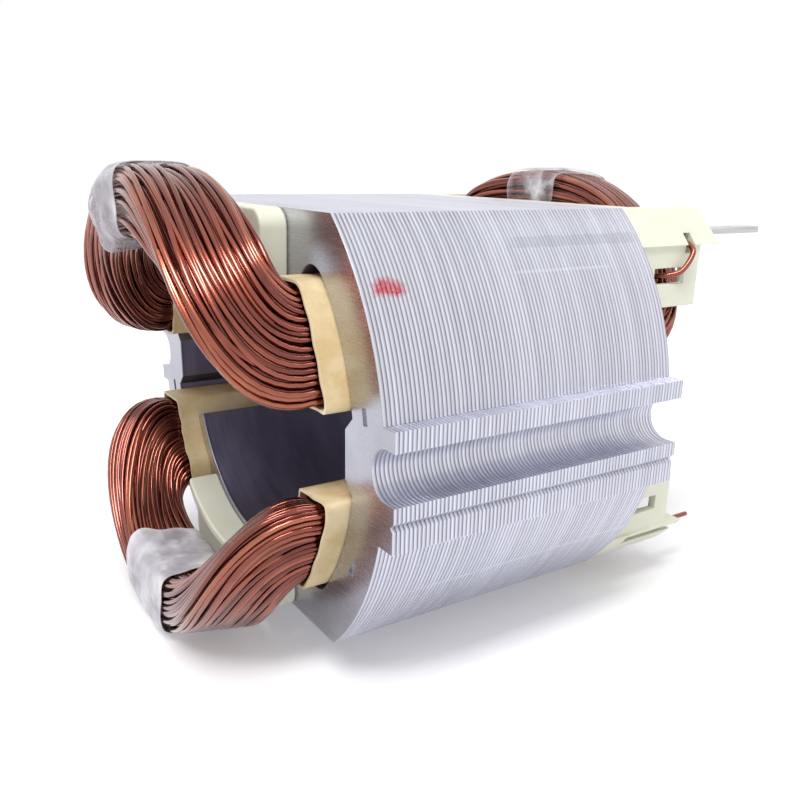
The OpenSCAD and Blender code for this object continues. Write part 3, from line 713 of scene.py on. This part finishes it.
class Finish:
    """A Principled material, with short calls that add nodes to it."""

    def __init__(self, name, sockets):
        self.material = bpy.data.materials.new(name)
        self.material.use_nodes = True
        self.tree = self.material.node_tree
        self.shader = self.tree.nodes["Principled BSDF"]
        self.fill(self.shader, sockets)
        self.place = self.add("TexCoord", {}, output="Object")

    def fill(self, node, sockets):
        """Sets each socket, or links it where the value is another node's output."""
        for key, value in sockets.items():
            if isinstance(value, bpy.types.NodeSocket):
                self.tree.links.new(value, node.inputs[key])
            else:
                node.inputs[key].default_value = value

    def add(self, kind, sockets, output=0, **settings):
        """Adds a node of this kind with its sockets filled; gives one of its outputs, or all for None."""
        node = self.tree.nodes.new("ShaderNode" + kind)
        for key, value in settings.items():
            setattr(node, key, value)
        self.fill(node, sockets)
        return node.outputs if output is None else node.outputs[output]

    def math(self, operation, a, b=0.0):
        """One step of arithmetic between two values."""
        return self.add("Math", {0: a, 1: b}, operation=operation)

    def noise(self, place, scale, detail=3.0, roughness=0.55):
        """Cloudy noise over a place."""
        sockets = {"Vector": place, "Scale": scale, "Detail": detail, "Roughness": roughness}
        return self.add("TexNoise", sockets)

    def stretched(self, scale):
        """The place, scaled by an amount of its own along each axis."""
        return self.add("Mapping", {"Vector": self.place, "Scale": scale})

    def ramp(self, factor, *stops):
        """Colour of a value, through stops of a position and a colour."""
        node = self.tree.nodes.new("ShaderNodeValToRGB")
        self.fill(node, {"Fac": factor})
        bar = node.color_ramp.elements
        while len(bar) < len(stops):
            bar.new(0.5)
        for element, (position, colour) in zip(bar, stops):
            element.position = position
            element.color = (*colour, 1.0)
        return node.outputs["Color"]

    def blend(self, factor, a, b, blend_type="MIX"):
        """Colour a, turned by the factor into its blend with b."""
        return self.add(
            "Mix", {0: factor, 6: a, 7: b}, output=2, data_type="RGBA", blend_type=blend_type
        )

    def span(self, factor, low, high, start=0.0, stop=1.0):
        """A value that runs from start to stop, stretched to run from low to high."""
        sockets = {"From Min": start, "From Max": stop, "To Min": low, "To Max": high}
        return self.add("MapRange", {"Value": factor, **sockets})

    def tone(self):
        """The shade stored at each point of a mesh."""
        return self.add("Attribute", {}, output="Fac", attribute_name="tone")

    def bump(self, height, strength, distance):
        """Fine relief, its full height a distance in metres."""
        sockets = {"Height": height, "Strength": strength, "Distance": distance}
        self.fill(self.shader, {"Normal": self.add("Bump", sockets)})

    def wear(self, **sockets):
        """Sets how the finish looks, and gives its material."""
        names = {"colour": "Base Color", "roughness": "Roughness", "alpha": "Alpha"}
        self.fill(self.shader, {names[key]: value for key, value in sockets.items()})
        return self.material


def grey(value, green=1.005, blue=1.11):
    """Cool grey of steel: its red value, with a little more green and blue."""
    return (value, value * green, value * blue)


def from_box(f, low, high):
    """Place as seen from the middle of a box given in millimetres, in half-sizes of the box."""
    middle = (np.array(low) + high) / 2 * MM
    half = (np.array(high) - low) / 2 * MM
    away = f.add("VectorMath", {0: f.place, 1: middle.tolist()}, operation="SUBTRACT")
    return f.add("VectorMath", {0: away, 1: half.tolist()}, operation="DIVIDE")


def streak_mask(f, low, high, ragged):
    """Streak: 1 inside its box and 0 outside, with a border that the noise makes ragged."""
    away = f.add("VectorMath", {0: from_box(f, low, high)}, operation="ABSOLUTE")
    away = f.add("SeparateXYZ", {"Vector": away}, output=None)
    far = f.math("MAXIMUM", f.math("MAXIMUM", away[0], away[1]), away[2])
    border = f.math("ADD", far, f.math("MULTIPLY", ragged, 0.5))
    return f.span(border, 1.0, 0.0, start=1.05, stop=1.25)


def ink_mask(f):
    """Smudge of ink: full in its middle, thinning out to a ragged border, with bare specks."""
    away = from_box(f, INK_LOW, INK_HIGH)
    far = f.add("VectorMath", {0: away}, output="Value", operation="LENGTH")
    ragged = f.math("ADD", far, f.span(f.noise(f.place, 900.0, detail=2.0), -0.9, 0.9))
    smudge = f.span(ragged, 0.9, 0.0, start=0.5, stop=1.3)
    return f.math("MULTIPLY", smudge, f.span(f.noise(f.place, 3200.0, detail=1.0), 0.3, 1.3))


def sheet_number(f):
    """Place along the bore counted in sheets; its fraction is the place within a sheet."""
    along = f.add("SeparateXYZ", {"Vector": f.place}, output="X")
    return f.math("ADD", f.math("DIVIDE", along, SHEET_T * MM), 2 * STACK_END / SHEET_T)


def cut_edge_finish():
    """Punched sheet edges: a bright sheared band and a duller torn band in every sheet, with lighter and
    darker streaks and a dab of red ink on the near round."""
    f = Finish("cut_sheet_edges", {"Metallic": 1.0})
    sheets = sheet_number(f)
    band = f.ramp(
        f.math("FRACT", sheets),
        (0.0, grey(0.18)), (0.1, grey(0.82)), (0.48, grey(0.88)),
        (0.6, grey(0.6)), (0.94, grey(0.5)), (1.0, grey(0.18)),
    )
    each = f.add("TexWhiteNoise", {"W": f.math("FLOOR", sheets)}, noise_dimensions="1D")
    smear = f.noise(f.stretched((900, 160, 160)), 1.0)
    tint = f.blend(0.16, band, f.ramp(each, (0.0, grey(0.25)), (1.0, grey(0.95))))
    colour = f.blend(0.2, tint, f.ramp(smear, (0.3, grey(0.45)), (0.7, grey(0.75))), "MULTIPLY")
    for low, high, shade in STREAK_BOXES:
        streak_share = streak_mask(f, low, high, smear)
        colour = f.blend(f.math("MULTIPLY", streak_share, 0.35), colour, (*grey(shade), 1.0))
    colour = f.blend(ink_mask(f), colour, (0.6, 0.03, 0.06, 1.0))
    f.bump(smear, strength=0.12, distance=0.00004)
    return f.wear(colour=colour, roughness=f.span(smear, 0.26, 0.46))


def bore_painted_shade_finish():
    """Sheet edges of the bore and slots: painted dark and bluish for the shade inside them, dull, with a
    faint line between sheets.
    """
    f = Finish("bore_edges_painted_shade", {"Metallic": 1.0})
    # Dark bluish colours: painted shade inside the bore and slots
    band = f.ramp(
        f.math("FRACT", sheet_number(f)),
        (0.0, (0.17, 0.16, 0.23)), (0.15, (0.25, 0.235, 0.34)), (0.9, (0.22, 0.205, 0.3)),
    )
    smear = f.noise(f.stretched((500, 120, 120)), 1.0)
    colour = f.blend(0.4, band, f.ramp(smear, (0.3, (0.18, 0.17, 0.25)), (0.7, (0.29, 0.275, 0.38))))
    f.bump(smear, strength=0.2, distance=0.00005)
    return f.wear(colour=colour, roughness=f.span(smear, 0.34, 0.55))


def sheet_face_finish():
    """Rolled sheet face: smooth and softly shiny, with fine rolling lines."""
    f = Finish("rolled_sheet_face", {"Metallic": 1.0})
    lines = f.noise(f.stretched((200, 150, 9000)), 1.0, detail=4.0)
    cloud = f.noise(f.place, 140.0)
    colour = f.ramp(cloud, (0.3, grey(0.46)), (0.7, grey(0.56)))
    colour = f.blend(0.06, colour, f.ramp(lines, (0.35, grey(0.3)), (0.65, grey(0.9))))
    f.bump(lines, strength=0.02, distance=0.00003)
    return f.wear(colour=colour, roughness=f.span(lines, 0.22, 0.32))


def wire_finish():
    """Enamelled copper: dark red metal under clear varnish, each wire a shade of its own."""
    f = Finish("enamelled_wire", {
        "Metallic": 1.0, "Coat Weight": 0.9, "Coat Roughness": 0.13, "Coat IOR": 1.5,
    })
    patch = f.noise(f.place, 260.0)
    colour = f.ramp(
        f.tone(),
        (0.0, (0.18, 0.032, 0.018)), (0.5, (0.31, 0.068, 0.038)), (1.0, (0.47, 0.145, 0.076)),
    )
    darker = f.ramp(patch, (0.3, (0.55, 0.45, 0.42)), (0.65, (1.0, 1.0, 1.0)))
    colour = f.blend(0.6, colour, darker, "MULTIPLY")
    f.bump(f.noise(f.place, 900.0), strength=0.05, distance=0.00003)
    return f.wear(colour=colour, roughness=f.span(patch, 0.15, 0.27))


def paper_finish():
    """Slot paper: straw yellow, with fine fibres, a slightly shiny skin and pale cut ends."""
    f = Finish("slot_paper", {"Specular IOR Level": 0.4})
    fibre = f.noise(f.stretched((1400, 2400, 2400)), 1.0, detail=5.0, roughness=0.7)
    cloud = f.noise(f.place, 300.0)
    colour = f.ramp(
        fibre,
        (0.2, (0.68, 0.5, 0.25)), (0.5, (0.76, 0.58, 0.31)), (0.8, (0.82, 0.65, 0.38)),
    )
    colour = f.blend(0.5, colour, f.ramp(cloud, (0.35, (0.62, 0.43, 0.19)), (0.65, (0.88, 0.75, 0.5))))
    colour = f.blend(f.math("MULTIPLY", f.tone(), 0.6), colour, (0.9, 0.82, 0.62, 1.0))
    f.bump(fibre, strength=0.25, distance=0.00005)
    return f.wear(colour=colour, roughness=f.span(cloud, 0.38, 0.55))


def plastic_finish():
    """Moulded insulator: cream plastic, faintly cloudy, with a fine moulded grain."""
    f = Finish("moulded_insulator", {
        "Subsurface Weight": 0.2, "Subsurface Radius": (0.0012, 0.0011, 0.0008), "Subsurface Scale": 1.0,
    })
    cloud = f.noise(f.place, 180.0)
    grain = f.noise(f.place, 3500.0)
    colour = f.ramp(cloud, (0.3, (0.82, 0.82, 0.66)), (0.7, (0.88, 0.88, 0.75)))
    f.bump(grain, strength=0.08, distance=0.00004)
    return f.wear(colour=colour, roughness=f.span(cloud, 0.34, 0.48))


def film_finish(name, thin, thick):
    """Wrapping film: glossy and part clear, whiter at its hems, and whiter on its crumpled creases, where
    the whiteness is painted glints.
    """
    f = Finish(name, {"IOR": 1.5, "Specular IOR Level": 1.0})
    stir = f.add("TexNoise", {"Vector": f.place, "Scale": 260.0}, output="Color")
    stirred = f.add("VectorMath", {0: stir, 1: (0.004,) * 3, 2: f.place}, operation="MULTIPLY_ADD")
    crumple = f.add("TexVoronoi", {"Vector": stirred, "Scale": 330.0}, output="Distance")
    cloud = f.noise(f.place, 240.0, detail=2.0)
    hem = f.math("POWER", f.tone(), 10.0)
    # Opaque pale creases are painted highlights on the crumpled film; the hem part only makes it whiter
    # at its edges
    white = f.math("ADD", f.math("POWER", crumple, 4.0), f.math("MULTIPLY", hem, 0.25))
    alpha = f.add("Math", {0: f.span(cloud, thin, thick), 1: white}, operation="ADD", use_clamp=True)
    colour = f.ramp(cloud, (0.3, (0.52, 0.48, 0.54)), (0.7, (0.8, 0.79, 0.83)))
    f.bump(crumple, strength=0.5, distance=0.0004)
    return f.wear(colour=colour, roughness=f.span(cloud, 0.05, 0.2), alpha=alpha)


def tin_finish():
    """Tinned terminal: pale metal, lightly drawn along its length."""
    f = Finish("tinned_terminal", {"Metallic": 1.0})
    lines = f.noise(f.stretched((150, 4000, 4000)), 1.0, detail=4.0)
    colour = f.ramp(lines, (0.3, (0.6, 0.6, 0.59)), (0.7, (0.78, 0.78, 0.77)))
    f.bump(lines, strength=0.15, distance=0.00003)
    return f.wear(colour=colour, roughness=f.span(lines, 0.2, 0.4))


def floor_finish():
    """Pale studio floor that keeps the shadow; its glow is kept low near the stator, a painted shadow
    round it, and rises to white away from it, while in reflections on metal it is painted a shade darker
    and glows evenly.
    """
    f = Finish("studio_floor", {"Roughness": 0.9, "Specular IOR Level": 0.1})
    path = f.add("LightPath", {}, output=None)
    # Darker for glossy rays: painted shade in what the metal reflects of the floor
    f.wear(colour=f.blend(path["Is Glossy Ray"], (0.88, 0.88, 0.88, 1.0), (0.8, 0.8, 0.82, 1.0)))
    away = f.add("VectorMath", {0: f.place}, output="Value", operation="LENGTH")
    # Glow lower near the stator: painted shadow round it, white far away
    painted_shadow_glow = f.span(away, 0.22, 0.45, start=0.05, stop=0.2)
    looked_at = f.math("MAXIMUM", path["Is Camera Ray"], path["Is Transmission Ray"])
    in_view = f.math("MULTIPLY", looked_at, painted_shadow_glow)
    in_metal = f.math("MULTIPLY", path["Is Glossy Ray"], 0.2)
    f.fill(f.shader, {
        "Emission Color": (0.98, 0.97, 1.0, 1.0), "Emission Strength": f.math("ADD", in_view, in_metal),
    })
    return f.material


# Pieces

copper = wire_finish()
paper = paper_finish()
plastic = plastic_finish()
milky_film = film_finish("milky_film", thin=0.5, thick=1.0)
hazy_film = film_finish("hazy_film", thin=0.15, thick=0.7)
clear_film = film_finish("clear_film", thin=0.0, thick=0.12)
tin = tin_finish()

# Signs of X, Y and Z that take a piece from where it is worked out to its place
AS_DRAWN = np.array([1, 1, 1])
FRONT = np.array([-1, 1, 1])
BELOW = np.array([1, -1, -1])
MIRRORED = np.array([1, -1, 1])

build_stack(cut_edge_finish(), sheet_face_finish(), bore_painted_shade_finish())
build_coil("top_coil", copper, AS_DRAWN)
build_coil("bottom_coil", copper, BELOW)
build_tape("rear_tape_top", clear_film, REAR_END, REAR_TAPE, AS_DRAWN)
build_tape("rear_tape_bottom", clear_film, REAR_END, REAR_TAPE, BELOW)
build_tape("front_tape_top", hazy_film, FRONT_END, FRONT_TOP_TAPE, FRONT)
build_tape("front_tape_bottom", milky_film, FRONT_END, FRONT_BOTTOM_TAPE, FRONT * BELOW)
build_liner("slot_liner_top_far", paper, AS_DRAWN)
build_liner("slot_liner_top_near", paper, MIRRORED)
build_liner("slot_liner_bottom_near", paper, BELOW)
build_liner("slot_liner_bottom_far", paper, BELOW * MIRRORED)
build_lead("lead_top_near", copper, tab_lead_path(), AS_DRAWN)
build_lead("lead_top_far", copper, tab_lead_path(), MIRRORED)
build_lead("lead_bottom_far", copper, bare_lead_path(), BELOW)
build_lead("lead_bottom_near", copper, bare_lead_path(), BELOW * MIRRORED)

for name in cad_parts:
    if "insulator" in name:
        soften(name, INSULATOR_ROUND, plastic)
    if "terminal_tab" in name:
        soften(name, TAB_ROUND, tin)

# Floor, light and camera


def add_floor(finish):
    """Wide flat floor that the stator stands on."""
    low = cad_box[0].z
    half = 6.0
    mesh = bpy.data.meshes.new("floor")
    corners = [(-half, -half, low), (half, -half, low), (half, half, low), (-half, half, low)]
    mesh.from_pydata(corners, [], [(0, 1, 2, 3)])
    mesh.materials.append(finish)
    made = bpy.data.objects.new("floor", mesh)
    bpy.context.scene.collection.objects.link(made)


def add_light(name, place, power, length, width):
    """Long soft lamp at a place in metres, facing the stator, with its long side along the bore."""
    data = bpy.data.lights.new(name, "AREA")
    data.shape = "RECTANGLE"
    data.energy = power
    data.size = length
    data.size_y = width
    facing = Vector(place).normalized()
    across = facing.cross((1, 0, 0)).normalized()
    axes = Matrix((across.cross(facing), across, facing)).transposed()
    lamp = bpy.data.objects.new(name, data)
    lamp.matrix_world = Matrix.Translation(place) @ axes.to_4x4()
    lamp.visible_camera = False
    bpy.context.scene.collection.objects.link(lamp)


def set_world():
    """White room: soft fill for the object, and plain white where the room itself is seen."""
    world = bpy.data.worlds.new("white_room")
    world.use_nodes = True
    tree = world.node_tree
    shown = tree.nodes["Background"]
    shown.inputs["Color"].default_value = (1.0, 1.0, 1.0, 1.0)
    shown.inputs["Strength"].default_value = 1.0
    fill = tree.nodes.new("ShaderNodeBackground")
    fill.inputs["Color"].default_value = (0.97, 0.98, 1.0, 1.0)
    fill.inputs["Strength"].default_value = 0.65
    path = tree.nodes.new("ShaderNodeLightPath").outputs
    either = tree.nodes.new("ShaderNodeMath")
    either.operation = "MAXIMUM"
    tree.links.new(path["Is Camera Ray"], either.inputs[0])
    tree.links.new(path["Is Glossy Ray"], either.inputs[1])
    seen = tree.nodes.new("ShaderNodeMath")
    seen.operation = "MAXIMUM"
    tree.links.new(either.outputs[0], seen.inputs[0])
    tree.links.new(path["Is Transmission Ray"], seen.inputs[1])
    both = tree.nodes.new("ShaderNodeMixShader")
    tree.links.new(seen.outputs[0], both.inputs[0])
    tree.links.new(fill.outputs[0], both.inputs[1])
    tree.links.new(shown.outputs[0], both.inputs[2])
    tree.links.new(both.outputs[0], tree.nodes["World Output"].inputs["Surface"])
    bpy.context.scene.world = world


def add_camera(place, yaw, pitch, roll, focal_share, raised):
    """Camera at a place in millimetres; yaw is turned from +Y to +X, pitch down, in degrees; the
    view is raised by a share of the picture."""
    yaw, pitch, roll = np.radians([yaw, pitch, roll])
    ahead = np.array([np.sin(yaw) * np.cos(pitch), np.cos(yaw) * np.cos(pitch), -np.sin(pitch)])
    right = np.array([np.cos(yaw), -np.sin(yaw), 0.0])
    up = np.cross(right, ahead)
    tilted = np.cos(roll) * right + np.sin(roll) * up
    axes = np.column_stack([tilted, np.cross(tilted, ahead), -ahead])
    data = bpy.data.cameras.new("camera")
    data.sensor_width = 36.0
    data.lens = focal_share * data.sensor_width
    data.shift_y = raised
    data.clip_start = 0.005
    data.clip_end = 100.0
    made = bpy.data.objects.new("camera", data)
    made.matrix_world = Matrix.Translation(Vector(place) * MM) @ Matrix(axes.tolist()).to_4x4()
    bpy.context.scene.collection.objects.link(made)
    bpy.context.scene.camera = made


add_floor(floor_finish())
set_world()
add_light("key", (-0.3, -0.28, 0.71), power=4.3, length=0.5, width=0.16)
add_camera(
    (-59.17, -93.814, 28.107), yaw=33.529, pitch=18.455, roll=1.151,
    focal_share=FOCAL_LENGTH / PICTURE_WIDTH, raised=RAISED_BY / PICTURE_WIDTH,
)
bpy.context.scene.view_settings.view_transform = "Standard"
